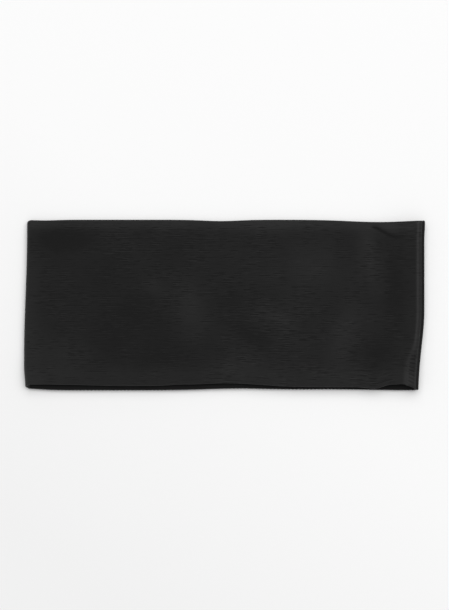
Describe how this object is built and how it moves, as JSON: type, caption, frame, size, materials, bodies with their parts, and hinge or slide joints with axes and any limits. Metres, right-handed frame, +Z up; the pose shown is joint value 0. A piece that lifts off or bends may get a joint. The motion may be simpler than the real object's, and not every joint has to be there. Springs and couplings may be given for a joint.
{
  "type": "wide fabric headband",
  "caption": "Wide stretch-jersey headband, folded double, overlocked along its bottom edge and closed into a loop, lying flat.",
  "frame": {"origin": "middle of the flat band's footprint, on the surface that it lies on", "axes": "+X along the flat band, from the plain end fold towards the end with the closing seam; +Y from the seamed bottom edge to the folded top edge; +Z up, through the two halves"},
  "size_m": [0.236, 0.1, 0.007],
  "materials": {
    "black_jersey": "matt cotton and elastane single jersey, fine wales along the band",
    "black_thread": "soft-sheen spun polyester sewing thread"
  },
  "bodies": {
    "root": {"jersey_band": "black_jersey", "edge_seam_outer_needle_thread": "black_thread", "edge_seam_inner_needle_thread": "black_thread", "edge_seam_upper_looper_thread": "black_thread", "edge_seam_lower_looper_thread": "black_thread", "closing_seam_outer_needle_thread": "black_thread", "closing_seam_inner_needle_thread": "black_thread", "closing_seam_upper_looper_thread": "black_thread", "closing_seam_lower_looper_thread": "black_thread", "closing_seam_tack": "black_thread"}
  },
  "joints": []
}
